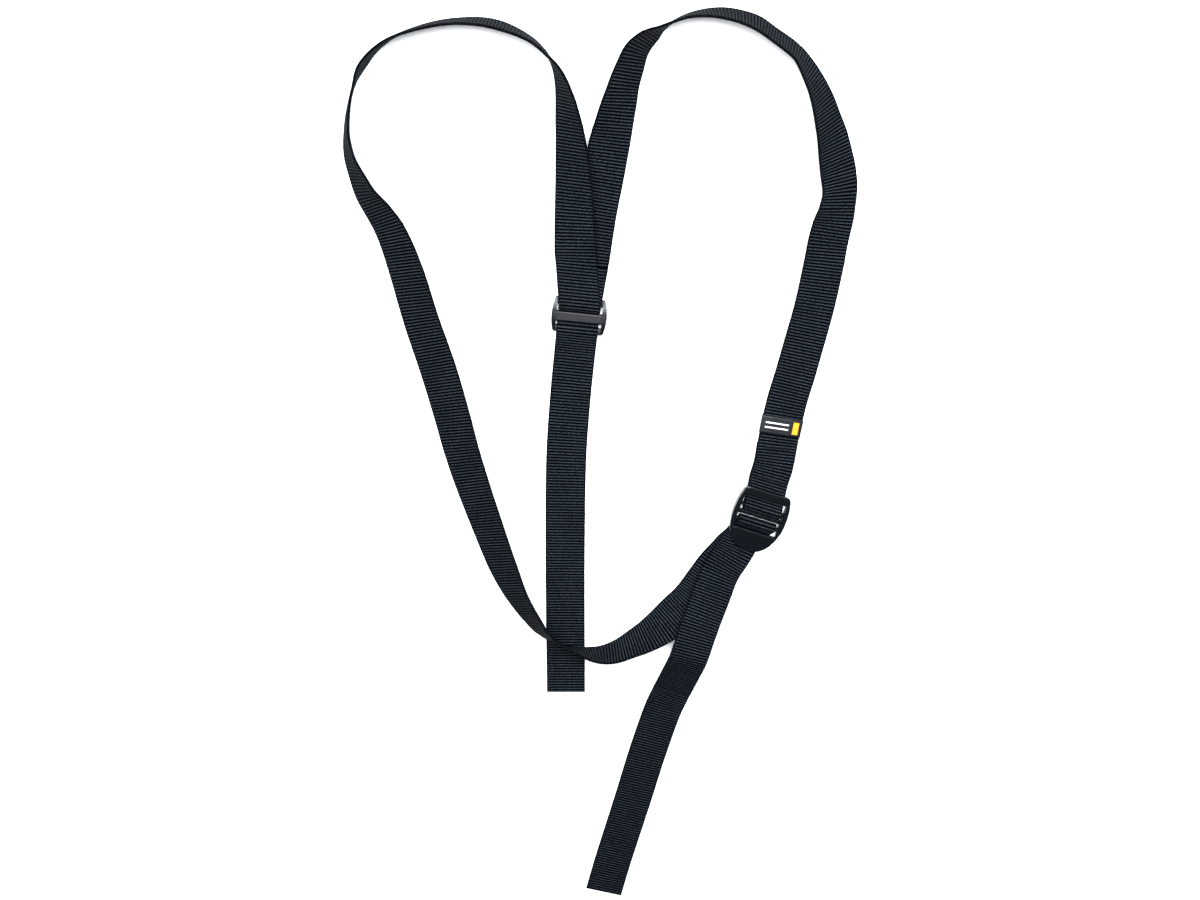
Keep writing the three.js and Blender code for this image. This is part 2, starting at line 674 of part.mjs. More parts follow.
// The label is a flat sleeve round the arm, just beyond the sewn end.
function labelGeometry(arm) {
  const start = arm[0].point;
  const from = lockFoldLength + labelGap;
  const near = arm.filter(({ point }) => point.distanceTo(start) < from + 2 * labelLength);
  const line = new THREE.CatmullRomCurve3(near.map(({ point }) => point));
  const length = line.getLength();
  const at = (distance) => line.getPointAt(distance / length);
  const middle = at(from + labelLength / 2);
  const along = at(from + labelLength).sub(at(from)).normalize();
  const left = up.clone().cross(along).normalize();
  const face = along.clone().cross(left);
  const wide = webbingWidth + 2 * clearance;
  const high = webbingThickness + 2 * clearance;
  const outer = new THREE.BoxGeometry(wide + 2 * labelThickness, high + 2 * labelThickness, labelLength);
  const inner = new THREE.BoxGeometry(wide, high, 2 * labelLength);
  const sleeve = geometryOf(solid(outer).subtract(solid(inner)));
  return sleeve.applyMatrix4(new THREE.Matrix4().makeBasis(left, face, along).setPosition(middle));
}

const webbingMaterial = new THREE.MeshStandardMaterial({ color: 0x15191f, roughness: 0.75 });
const acetalMaterial = new THREE.MeshStandardMaterial({ color: 0x0d0e10, roughness: 0.3 });
const labelMaterial = new THREE.MeshStandardMaterial({ color: 0x0b0c0e, roughness: 0.6 });

function named(name, geometry, material) {
  const mesh = new THREE.Mesh(geometry, material);
  mesh.name = name;
  return mesh;
}

const harness = new THREE.Group();
const long = longWebbing();
const right = rightWebbing();
slideSeat.add(named("three_bar_slide", slideGeometry(), acetalMaterial));
lockSeat.add(named("ladder_lock", lockGeometry(), acetalMaterial));
harness.add(
  slideSeat,
  lockSeat,
  named("long_webbing", webbingGeometry(long.loop), webbingMaterial),
  named("front_tail", webbingGeometry(long.tail), webbingMaterial),
  named(
    "right_webbing",
    webbingGeometry([...right.fold, ...right.inLock, ...right.arm, ...right.inSlide]),
    webbingMaterial,
  ),
  named("woven_label", labelGeometry(right.arm), labelMaterial),
);

// The part's origin is the middle of its footprint, on the surface that it lies on.
harness.updateMatrixWorld(true);
const box = new THREE.Box3().setFromObject(harness, true);
const middle = box.getCenter(new THREE.Vector3());
harness.position.set(-middle.x, -middle.y, -box.min.z);

export default harness;
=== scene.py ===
"""A climbing chest harness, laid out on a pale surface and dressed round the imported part.

The two webbings follow the same routes as the part's own: the rows below say where each runs, how far
it leans from flat and how many layers it passes over. Places on a route are in millimetres until a
mesh is made of them, which is in metres.
"""

import math

import bmesh
import bpy
import numpy as np
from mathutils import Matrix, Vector


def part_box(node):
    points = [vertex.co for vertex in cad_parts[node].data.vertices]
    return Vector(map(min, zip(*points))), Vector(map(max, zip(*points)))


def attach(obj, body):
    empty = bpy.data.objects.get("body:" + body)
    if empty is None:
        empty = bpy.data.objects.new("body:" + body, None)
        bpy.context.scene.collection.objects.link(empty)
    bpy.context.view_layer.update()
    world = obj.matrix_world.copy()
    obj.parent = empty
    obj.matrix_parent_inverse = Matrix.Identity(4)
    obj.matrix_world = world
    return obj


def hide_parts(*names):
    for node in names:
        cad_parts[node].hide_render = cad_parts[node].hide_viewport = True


MM = 0.001

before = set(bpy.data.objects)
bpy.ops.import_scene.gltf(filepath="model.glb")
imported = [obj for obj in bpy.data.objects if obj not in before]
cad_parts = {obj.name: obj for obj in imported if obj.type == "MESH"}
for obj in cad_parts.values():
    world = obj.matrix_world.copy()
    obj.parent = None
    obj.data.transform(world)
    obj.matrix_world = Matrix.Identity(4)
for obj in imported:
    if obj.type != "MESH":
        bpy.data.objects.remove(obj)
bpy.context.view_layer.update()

# Layout and webbing, in millimetres
LAID_WIDTH = 300.0
LAID_LENGTH = 590.0
WEBBING_WIDTH = 25.0
WEBBING_THICKNESS = 1.8
CLEARANCE = 0.3
LAYER = WEBBING_THICKNESS + CLEARANCE
HALF_THICKNESS = WEBBING_THICKNESS / 2
SETTLE_LENGTH = 16.0
ROUTE_STEP = 1.0
SAME_PLACE = 0.02
BEND_STEP = math.radians(5)
UP = np.array([0.0, 0.0, 1.0])

# Ribs of the webbing, and its plain woven edge. The shape is the groove's depth at each step of a rib.
RIB_PITCH = 1.93
RIB_DEPTH = 0.34
RIB_SHAPE = [1.0, 0.35, 0.0, 0.35]
RIB_STEP = RIB_PITCH / len(RIB_SHAPE)
GROOVE_INTO_EDGE = 0.07
SELVAGE = 1.1
EDGE_ROUNDING = 0.12
EDGE_SHOULDER = 0.45
CUT_END_SHARE = 0.62
CUT_END_LENGTH = 0.9

# Slide, in its own directions: v along the strap and z up
SLIDE_PLACE = (-0.042, 0.1455)
SLIDE_TURN = -6.0
SLIDE_END_BAR = 4.2
SLIDE_CENTRE_BAR = 6.2
SLIDE_BAR_HEIGHT = 3.0
SLIDE_BAR_ROUND = 1.0
SLIDE_LEAD_SLANT = -10.0
SLIDE_ARM_SLANT = 4.5
SLIDE_EASE = 9.0
SLIDE_FOLD = 20.0

# Ladder lock, in the same directions
LOCK_PLACE = (0.332, -0.0725)
LOCK_TURN = -18.5
LOCK_BAR_RADIUS = 1.3
LOCK_BAR_SPREAD = 10.4
LOCK_PLATE_HEIGHT = 2.6
LOCK_ENTRY = 3.4
LOCK_TOP_BAR = 6.0
LOCK_TONGUE = 14.6
LOCK_LOAD_SLANT = 21.0
LOCK_LOAD_SHIFT = 0.5
LOCK_ARM_SLANT = -8.5
LOCK_FOLD = 30.0

# Label on the right webbing
LABEL_LENGTH = 11.0
LABEL_THICKNESS = 0.7
LABEL_GAP = 6.5
LABEL_EASE = 0.05
LABEL_FOLD = 0.7
LABEL_STEPS = 12
LABEL_UNDERSIDE = 100.0

# Stitches: two bar tacks of zigzag thread hold the right webbing's folded end
THREAD_RADIUS = 0.19
THREAD_SIDES = 6
TACK_TURNS = 24
TACK_LENGTHS = (2.4, 2.6)
TACK_WIDTH = 17.0
TACK_FROM_LOCK = 6.0
TACK_FROM_END = 2.5
TACK_POINTS = 5
TACK_BOW = 0.1
TACK_SINK = 0.12

# Camera, as it stands over the harness in the photograph
CAMERA_TILT = math.radians(20)
CAMERA_DISTANCE = 950.0
CAMERA_LENS = 45.96
CAMERA_SENSOR = 36.0

# Rows of a route: share of the laid width, share of the laid length, lean from flat in degrees, and
# layers passed over. The lean is positive with the webbing's left edge up as it travels.
BACK_TAIL = [
    (-0.0745, -0.286, 0, 0),
    (-0.0745, -0.203, 0, 0),
    (-0.0735, -0.102, 0, 0),
    (-0.069, 0, 0, 0),
]

LEFT_LOOP = [
    (-0.0485, 0.22, -10, 1.6),
    (-0.05, 0.254, -24, 0.3),
    (-0.052, 0.298, -36, 0),
    (-0.0587, 0.341, -52, 0),
    (-0.0687, 0.3745, -69, 0),
    (-0.0817, 0.394, -79, 0),
    (-0.1, 0.407, -87, 0),
    (-0.1313, 0.421, -90, 0),
    (-0.1973, 0.4345, -95, 0),
    (-0.2633, 0.437, -92, 0),
    (-0.3287, 0.432, -90.5, 0),
    (-0.3943, 0.42, -87, 0),
    (-0.4367, 0.4015, -85.5, 0),
    (-0.4617, 0.378, -95, 0),
    (-0.4733, 0.3575, -99, 0),
    (-0.48, 0.332, -104, 0),
    (-0.4767, 0.3085, -113, 0),
    (-0.4657, 0.2915, -120, 0),
    (-0.45, 0.272, -129, 0),
    (-0.4307, 0.2565, -137, 0),
    (-0.412, 0.24, -143, 0),
    (-0.3977, 0.222, -147, 0),
    (-0.38, 0.1915, -153, 0),
    (-0.3567, 0.144, -157, 0),
    (-0.3247, 0.0875, -160.5, 0),
    (-0.3, 0.037, -159, 0),
    (-0.285, 0.0035, -158, 0),
    (-0.2667, -0.0305, -156, 0),
    (-0.2363, -0.08, -150, 0),
    (-0.204, -0.129, -144, 0),
    (-0.177, -0.1615, -134, 0),
    (-0.139, -0.193, -125, 0),
    (-0.118, -0.205, -120, 0.5),
    (-0.082, -0.217, -114, 1),
    (-0.0493, -0.2235, -107, 1),
    (-0.0263, -0.2275, -100, 0.7),
    (0, -0.2295, -92, 0.25),
    (0.033, -0.226, -82, 0),
    (0.0657, -0.2175, -73, 0),
    (0.1, -0.208, -61, 0),
    (0.136, -0.196, -43, 0),
    (0.164, -0.1848, -24, 0),
    (0.1927, -0.1715, -10, 0),
    (0.221, -0.151, -3, 0),
    (0.245, -0.1325, 0, 0),
    (0.2677, -0.1185, 0, 0),
]

FRONT_TAIL = [
    (0.28, -0.1165, -180, 1),
    (0.2555, -0.1375, -180, 1.4),
    (0.2325, -0.166, -181, 4.2),
    (0.208, -0.197, -182, 7.4),
    (0.1915, -0.223, -183, 8.6),
    (0.1725, -0.254, -182, 5.6),
    (0.156, -0.2815, -181, 1.8),
    (0.1393, -0.305, -181, 0.5),
    (0.1193, -0.339, -180, 0),
    (0.1003, -0.373, -180, 0),
    (0.0743, -0.4235, -180, 0),
    (0.047, -0.4745, -180, 0),
    (0.029, -0.5085, -180, 0),
    (0.0085, -0.5505, -180, 0),
]

RIGHT_LOOP = [
    (0.359, -0.0153, 0, 1),
    (0.3667, 0.0141, 0, 1),
    (0.379, 0.0508, 0, 0.8),
    (0.3963, 0.0864, 2, 0.4),
    (0.412, 0.1203, 4, 0),
    (0.428, 0.1576, 7, 0),
    (0.4417, 0.2, 8, 0),
    (0.4477, 0.223, 10, 0),
    (0.4543, 0.2407, 13, 0),
    (0.4603, 0.2576, 25, 0),
    (0.4637, 0.2746, 29, 0),
    (0.4593, 0.2915, 28, 0),
    (0.4517, 0.3085, 32, 0),
    (0.4433, 0.3263, 39, 0),
    (0.4333, 0.3424, 47, 0),
    (0.4223, 0.3593, 53, 0),
    (0.408, 0.3763, 60, 0),
    (0.389, 0.3932, 66, 0),
    (0.3667, 0.4085, 73, 0),
    (0.3223, 0.425, 75, 0),
    (0.296, 0.434, 75, 0),
    (0.2633, 0.4405, 78, 0),
    (0.23, 0.444, 81, 0),
    (0.1973, 0.4445, 86, 0),
    (0.1643, 0.442, 91, 0),
    (0.138, 0.437, 94, 0),
    (0.1135, 0.4303, 101, 0),
    (0.0935, 0.4236, 115, 0),
    (0.069, 0.4107, 125, 0),
    (0.0545, 0.3925, 132, 0),
    (0.043, 0.3745, 137, 0),
    (0.0347, 0.3575, 146, 0),
    (0.0267, 0.3405, 153, 0),
    (0.0193, 0.3235, 163, 0),
    (0.0057, 0.288, 172, 0),
    (-0.0077, 0.254, 178, 0),
    (-0.018, 0.2203, 180, 0),
]


# Routes


def laid_point(x, y):
    return np.array([x * LAID_WIDTH, y * LAID_LENGTH, 0.0])


def rest_height(roll):
    """Height of the centre line of webbing that leans by roll and rests on its lower edge."""
    lean = np.radians(roll)
    return WEBBING_WIDTH / 2 * np.abs(np.sin(lean)) + HALF_THICKNESS * np.abs(np.cos(lean))


def spline_point(points, t, power):
    """Point at t from 0 to 1 along a Catmull-Rom curve whose knots are set by the points' spacing."""
    last = len(points) - 1
    span = min(int(t * last), last - 1)
    weight = t * last - span
    p1, p2 = points[span], points[span + 1]
    p0 = points[span - 1] if span else 2 * p1 - p2
    p3 = points[span + 2] if span + 2 <= last else 2 * p2 - p1
    gaps = [np.sum((b - a) ** 2) ** power for a, b in ((p0, p1), (p1, p2), (p2, p3))]
    nothing = 1e-4
    middle = gaps[1] if gaps[1] > nothing else 1.0
    before = gaps[0] if gaps[0] > nothing else middle
    after = gaps[2] if gaps[2] > nothing else middle
    start = middle * ((p1 - p0) / before - (p2 - p0) / (before + middle) + (p2 - p1) / middle)
    end = middle * ((p2 - p1) / middle - (p3 - p1) / (middle + after) + (p3 - p2) / after)
    square = -3 * p1 + 3 * p2 - 2 * start - end
    cube = 2 * p1 - 2 * p2 + start + end
    return p1 + start * weight + square * weight**2 + cube * weight**3


class Seat:
    """Where a buckle sits, and how it is turned on the surface."""

    def __init__(self, place, turn):
        angle = math.radians(turn)
        self.origin = laid_point(*place)
        self.right = np.array([math.cos(angle), math.sin(angle), 0.0])
        self.along = np.array([-math.sin(angle), math.cos(angle), 0.0])

    def point(self, u, v, z):
        return self.origin + self.right * u + self.along * v + UP * z


def belt_path(wheels):
    """Line of a belt round wheels (v, z, radius, turn). Turn: 1 for left, -1 for right, 0 at an end."""
    headings = []
    for (v0, z0, r0, t0), (v1, z1, r1, t1) in zip(wheels, wheels[1:]):
        straight = math.atan2(z1 - z0, v1 - v0)
        headings.append(straight - math.asin((t1 * r1 - t0 * r0) / math.hypot(v1 - v0, z1 - z0)))
    path = []
    for i, (v, z, radius, turn) in enumerate(wheels):
        start = headings[max(i - 1, 0)]
        stop = headings[min(i, len(headings) - 1)]
        swept = (turn * (stop - start) + math.pi / 2) % (2 * math.pi) - math.pi / 2
        steps = math.ceil(abs(swept) / BEND_STEP) if radius else 0
        for k in range(steps + 1):
            heading = start + turn * swept * k / max(steps, 1)
            out = turn * radius
            path.append((v + out * math.sin(heading), z - out * math.cos(heading)))
    return path


def threaded(seat, wheels, shift=0.0, slant=0.0, pivot=0.0, beyond=1):
    """Webbing through a buckle. Past pivot, on the side that beyond gives, it runs at a slant."""
    slope = math.tan(math.radians(slant))
    points = [
        seat.point(shift + beyond * max(0.0, beyond * (v - pivot)) * slope, v, z)
        for v, z in belt_path(wheels)
    ]
    return np.array(points), np.repeat([-seat.right], len(points), axis=0)


def lead_from(route, at_start, roll):
    """Control rows that carry a threaded stretch on in its own direction."""
    points, across = route
    edge, inner = (points[0], points[1]) if at_start else (points[-1], points[-2])
    outward = edge - inner
    outward[2] = 0.0
    outward /= np.linalg.norm(outward)
    lift = edge[2] - HALF_THICKNESS
    beyond = edge + outward * SETTLE_LENGTH / 3
    rows = [(edge, roll, lift), (beyond, roll, lift)]
    return {"rows": rows, "across": across[0] if at_start else across[-1]}


def smoothstep(x):
    """Soft rise from 0 to 1."""
    x = np.clip(x, 0.0, 1.0)
    return x * x * (3 - 2 * x)


def unit(vectors):
    """The same directions, each of length 1."""
    return vectors / np.linalg.norm(vectors, axis=-1, keepdims=True)


def laid_stretch(rows, before=None, after=None):
    """Webbing laid along the rows, joined to a threaded stretch before or after it."""
    marks = [(laid_point(x, y), roll, lift * LAYER) for x, y, roll, lift in rows]
    if before:
        marks = before["rows"] + marks
    if after:
        marks = marks + after["rows"][::-1]
    plan = [np.array([at[0], at[1], 0.0]) for at, _, _ in marks]
    lean = [np.array([roll, lift, 0.0]) for _, roll, lift in marks]
    last = len(marks) - 1
    points, rolls = [], []
    for i in range(last):
        steps = max(1, round(np.linalg.norm(plan[i + 1] - plan[i]) / ROUTE_STEP))
        for k in range(0 if i == 0 else 1, steps + 1):
            t = (i + k / steps) / last
            roll, lift, _ = spline_point(lean, t, 0.5)
            point = spline_point(plan, t, 0.25)
            point[2] = rest_height(roll) + max(lift, 0.0)
            points.append(point)
            rolls.append(roll)
    points = np.array(points)
    along = unit(np.gradient(points, axis=0))
    left = unit(np.cross(UP, along))
    tilt = np.radians(rolls)[:, None]
    across = left * np.cos(tilt) + UP * np.sin(tilt)
    across = unit(across - along * np.sum(across * along, axis=1, keepdims=True))
    run = lengths(points)
    for lead, distance in ((before, run), (after, run[-1] - run)):
        if lead:
            share = 1 - smoothstep(distance / SETTLE_LENGTH)[:, None]
            across = unit(across * (1 - share) + lead["across"] * share)
    return points, across


def lengths(points):
    """Distance along a line of points, at each of them."""
    return np.concatenate([[0.0], np.cumsum(np.linalg.norm(np.diff(points, axis=0), axis=1))])


def joined(*stretches):
    """One route from several that meet, without their repeated points."""
    points = np.concatenate([points for points, _ in stretches])
    across = np.concatenate([across for _, across in stretches])
    fresh = np.concatenate([[True], np.linalg.norm(np.diff(points, axis=0), axis=1) > SAME_PLACE])
    return points[fresh], across[fresh]


# Threading, as in the part. v runs along the buckle: "in" is the side of a bar that faces the middle of
# the buckle, and "out" the side that faces its end.

SLIDE_SEAT = Seat(SLIDE_PLACE, SLIDE_TURN)
LOCK_SEAT = Seat(LOCK_PLACE, LOCK_TURN)

slide_upper_slot = 2 * WEBBING_THICKNESS + 3 * CLEARANCE
slide_lower_slot = WEBBING_THICKNESS + 2 * CLEARANCE
slide_top_in = SLIDE_CENTRE_BAR / 2 + slide_upper_slot
slide_top_out = slide_top_in + SLIDE_END_BAR
slide_bottom_in = -SLIDE_CENTRE_BAR / 2 - slide_lower_slot
slide_bottom_out = slide_bottom_in - SLIDE_END_BAR
slide_crown = LAYER + SLIDE_BAR_HEIGHT - SLIDE_BAR_ROUND
slide_bend = SLIDE_BAR_ROUND + CLEARANCE + HALF_THICKNESS

lock_wrap = LOCK_BAR_RADIUS + CLEARANCE + WEBBING_THICKNESS
lock_bend = LOCK_BAR_RADIUS + CLEARANCE + HALF_THICKNESS
lock_bar_height = LAYER + LOCK_BAR_RADIUS
lock_nose = LOCK_PLATE_HEIGHT / 2
lock_nose_bend = lock_nose + CLEARANCE + HALF_THICKNESS
lock_nose_height = 2 * LAYER + lock_nose
lock_upper_bar = LOCK_BAR_SPREAD / 2
lock_lower_bar = -LOCK_BAR_SPREAD / 2
lock_top_in = lock_upper_bar + lock_wrap + LOCK_ENTRY
lock_top_out = lock_top_in + LOCK_TOP_BAR
lock_tongue_in = lock_lower_bar - lock_wrap - 3 * CLEARANCE


def long_through_slide():
    """Up over the slide's bottom bar, under its centre bar and over the right webbing on its top bar."""
    over_wrap = slide_bend + LAYER
    low = LAYER + SLIDE_BAR_ROUND
    wheels = [
        (slide_bottom_out - 3 * SLIDE_EASE, HALF_THICKNESS, 0, 0),
        (slide_bottom_out - 1.6 * SLIDE_EASE, HALF_THICKNESS + SLIDE_EASE, SLIDE_EASE, 1),
        (slide_bottom_out + SLIDE_BAR_ROUND, slide_crown, slide_bend, -1),
        (slide_bottom_in - SLIDE_BAR_ROUND, slide_crown, slide_bend, -1),
        (-SLIDE_CENTRE_BAR / 2 + SLIDE_BAR_ROUND, low, slide_bend, 1),
        (SLIDE_CENTRE_BAR / 2 - SLIDE_BAR_ROUND, low, slide_bend, 1),
        (slide_top_in + SLIDE_BAR_ROUND, slide_crown, over_wrap, -1),
        (slide_top_out - SLIDE_BAR_ROUND, slide_crown, over_wrap, -1),
        (slide_top_out + 1.5 * SLIDE_EASE, 2 * LAYER + HALF_THICKNESS + SLIDE_EASE, SLIDE_EASE, 1),
        (slide_top_out + 2 * SLIDE_EASE, 2 * LAYER + HALF_THICKNESS, 0, 0),
    ]
    return threaded(SLIDE_SEAT, wheels, -CLEARANCE, SLIDE_LEAD_SLANT, slide_top_in, 1)


def right_through_slide():
    """From the folded end, under the slide's top bar, round it and back over the fold."""
    wheels = [
        (slide_top_out + SLIDE_FOLD, HALF_THICKNESS, 0, 0),
        (slide_top_in + SLIDE_BAR_ROUND, LAYER + SLIDE_BAR_ROUND, slide_bend, -1),
        (slide_top_in + SLIDE_BAR_ROUND, slide_crown, slide_bend, -1),
        (slide_top_out - SLIDE_BAR_ROUND, slide_crown, slide_bend, -1),
        (slide_top_out + 1.3 * SLIDE_EASE, LAYER + HALF_THICKNESS + SLIDE_EASE, SLIDE_EASE, 1),
        (slide_top_out + SLIDE_FOLD - CLEARANCE, LAYER + HALF_THICKNESS, 0, 0),
    ]
    return threaded(SLIDE_SEAT, wheels, 0.0, SLIDE_ARM_SLANT, slide_top_in, 1)


def right_through_lock():
    """From the folded end, in under the ladder lock's top bar, round its upper bar and back out."""
    wheels = [
        (lock_top_out + 2 * CLEARANCE, HALF_THICKNESS, 0, 0),
        (lock_upper_bar, lock_bar_height, lock_bend, -1),
        (lock_top_in + lock_nose, lock_nose_height, lock_nose_bend, 1),
        (lock_top_out + 2 * CLEARANCE, LAYER + HALF_THICKNESS, 0, 0),
    ]
    return threaded(LOCK_SEAT, wheels, 2 * CLEARANCE, LOCK_ARM_SLANT, lock_upper_bar, 1)


def long_through_lock():
    """In under the ladder lock's tongue, round its lower bar and back out under the tongue."""
    wheels = [
        (lock_tongue_in - LOCK_TONGUE / 3, HALF_THICKNESS, 0, 0),
        (lock_lower_bar, lock_bar_height, lock_bend, 1),
        (lock_tongue_in - lock_nose, lock_nose_height, lock_nose_bend, -1),
        (lock_tongue_in - LOCK_TONGUE / 3, LAYER + HALF_THICKNESS, 0, 0),
    ]
    return threaded(LOCK_SEAT, wheels, LOCK_LOAD_SHIFT, LOCK_LOAD_SLANT, lock_lower_bar, -1)


def long_route():
    in_slide = long_through_slide()
    in_lock = long_through_lock()
    return joined(
        laid_stretch(BACK_TAIL, None, lead_from(in_slide, True, 0)),
        in_slide,
        laid_stretch(LEFT_LOOP, lead_from(in_slide, False, 0), lead_from(in_lock, True, 0)),
        in_lock,
        laid_stretch(FRONT_TAIL, lead_from(in_lock, False, -180), None),
    )


def right_arm():
    """The right webbing between the two buckles."""
    in_lock = right_through_lock()
    in_slide = right_through_slide()
    return laid_stretch(RIGHT_LOOP, lead_from(in_lock, False, 0), lead_from(in_slide, True, 180))


def right_route():
    points, across = right_arm()
    under = np.linalg.norm(points - points[0], axis=1) < LOCK_FOLD
    fold = points[under][::-1] - UP * LAYER
    return joined(
        (fold, across[under][::-1]),
        right_through_lock(),
        (points, across),
        right_through_slide(),
    )


def layout_shift():
    """Step from the middle of the layout to the part's origin.

    The slide's outline is the same turned half way round, so its box and its length share one middle.
    """
    low, high = (np.array(corner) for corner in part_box("three_bar_slide"))
    middle = SLIDE_SEAT.point(0.0, (slide_top_out + slide_bottom_out) / 2, 0.0)
    return ((low + high) / 2 / MM - middle) * [1.0, 1.0, 0.0]


SHIFT = layout_shift()


class Strip:
    """Webbing at even steps of a route: its centre line, and the ways across it and out of its face."""

    def __init__(self, route, step):
        points, across = route
        run = lengths(points)
        count = round(run[-1] / step)
        self.at = np.linspace(0.0, run[-1], count + 1)

        def evenly(values):
            return np.stack([np.interp(self.at, run, values[:, k]) for k in range(3)], axis=1)

        self.points = evenly(points)
        self.across = unit(evenly(across))
        self.face = unit(np.cross(np.gradient(self.points, axis=0), self.across))

    def place(self, along, side, height):
        """Point at a distance along the webbing, to one side of its middle and above its centre line."""
        point, across, face = (
            np.array([np.interp(along, self.at, values[:, k]) for k in range(3)])
            for values in (self.points, self.across, self.face)
        )
        return point + across * side + face * height


# Meshes


def mesh_piece(name, points, faces, uvs=None, smooth=True):
    """Object from points in layout millimetres. uvs are millimetres across and along, one per corner."""
    mesh = bpy.data.meshes.new(name)
    mesh.from_pydata(((np.asarray(points) + SHIFT) * MM).tolist(), [], faces)
    if uvs is not None:
        layer = mesh.uv_layers.new(name="cloth")
        layer.data.foreach_set("uv", np.asarray(uvs, dtype=np.float32).ravel())
    mesh.polygons.foreach_set("use_smooth", [smooth] * len(mesh.polygons))
    mesh.validate()
    mesh.update()
    piece = bpy.data.objects.new(name, mesh)
    bpy.context.collection.objects.link(piece)
    return piece


def webbing_section():
    """Points of the webbing's section: side, height and how much of the ribs shows there."""
    half = WEBBING_WIDTH / 2
    top = HALF_THICKNESS
    upper = [
        (half, 0.0, 0.0),
        (half - EDGE_ROUNDING, top * 0.55, 0.0),
        (half - EDGE_SHOULDER, top * 0.9, 0.15),
        (half - SELVAGE, top, 0.7),
        (half - 1.6 * SELVAGE, top, 1.0),
        (half / 3, top, 1.0),
    ]
    across_top = upper + [(-side, height, ribs) for side, height, ribs in upper[::-1]]
    under = [(-side, -height, ribs) for side, height, ribs in across_top[1:-1]]
    return across_top + under


def webbing_piece(name, strip):
    """Woven webbing along a strip, with its ribs as real grooves and its heat-cut ends pinched thin."""
    count = len(strip.at)
    side, height, ribs = (np.array(column)[None, :] for column in zip(*webbing_section()))
    groove = np.resize(RIB_SHAPE, count)[:, None]
    depth = height - np.sign(height) * RIB_DEPTH * ribs * groove
    wide = side - np.sign(side) * GROOVE_INTO_EDGE * groove
    from_end = np.minimum(strip.at, strip.at[-1] - strip.at)
    depth *= CUT_END_SHARE + (1 - CUT_END_SHARE) * smoothstep(from_end / CUT_END_LENGTH)[:, None]
    rings = (
        strip.points[:, None, :]
        + strip.across[:, None, :] * wide[:, :, None]
        + strip.face[:, None, :] * depth[:, :, None]
    )
    around = side.size
    lines = np.arange(count - 1)[:, None] * around
    here = np.arange(around)[None, :]
    beside = (here + 1) % around
    quads = np.stack(
        [lines + here, lines + here + around, lines + beside + around, lines + beside], axis=-1
    ).reshape(-1, 4)
    faces = quads.tolist()
    faces.append(list(range(around)))
    faces.append(list(range((count - 1) * around, count * around))[::-1])
    spot = np.stack([wide.ravel(), np.repeat(strip.at, around)], axis=1)
    corners = np.concatenate([quads.ravel(), np.array(faces[-2]), np.array(faces[-1])])
    return mesh_piece(name, rings.reshape(-1, 3), faces, spot[corners])


def thread_piece(name, runs):
    """Stitches: each run is one length of thread, given by the points that it follows."""
    sides = THREAD_SIDES
    points, faces = [], []
    for run in runs:
        run = np.array(run)
        along = unit(np.gradient(run, axis=0))
        side = unit(np.cross(along, [0.3, 0.2, 1.0]))
        over = np.cross(side, along)
        first = len(points)
        for point, a, b in zip(run, side, over):
            for k in range(sides):
                angle = 2 * math.pi * k / sides
                out = a * math.cos(angle) + b * math.sin(angle)
                points.append(point + THREAD_RADIUS * out)
        for i in range(len(run) - 1):
            for k in range(sides):
                here, beside = first + i * sides + k, first + i * sides + (k + 1) % sides
                faces.append([here, here + sides, beside + sides, beside])
        faces.append([first + k for k in range(sides)])
        faces.append([first + (len(run) - 1) * sides + k for k in reversed(range(sides))])
    piece = mesh_piece(name, points, faces)
    outward(piece)
    return piece


def outward(piece):
    """Turns every face of a piece out."""
    shape = bmesh.new()
    shape.from_mesh(piece.data)
    bmesh.ops.recalc_face_normals(shape, faces=shape.faces)
    shape.to_mesh(piece.data)
    shape.free()


def bar_tack(strip, middle, length):
    """Zigzag stitches across the webbing, each sunk a little into it at its ends."""
    runs = []
    steps = np.linspace(0.0, 1.0, TACK_POINTS)
    heights = HALF_THICKNESS + TACK_BOW * np.sin(np.pi * steps) - TACK_SINK
    ends = (middle - length / 2, middle + length / 2)
    for k in range(TACK_TURNS):
        sides = TACK_WIDTH * (np.array([k, k + 1]) / TACK_TURNS - 0.5)
        start, stop = ends if k % 2 == 0 else ends[::-1]
        runs.append(
            [
                strip.place(start + (stop - start) * t, sides[0] + (sides[1] - sides[0]) * t, height)
                for t, height in zip(steps, heights)
            ]
        )
    return runs


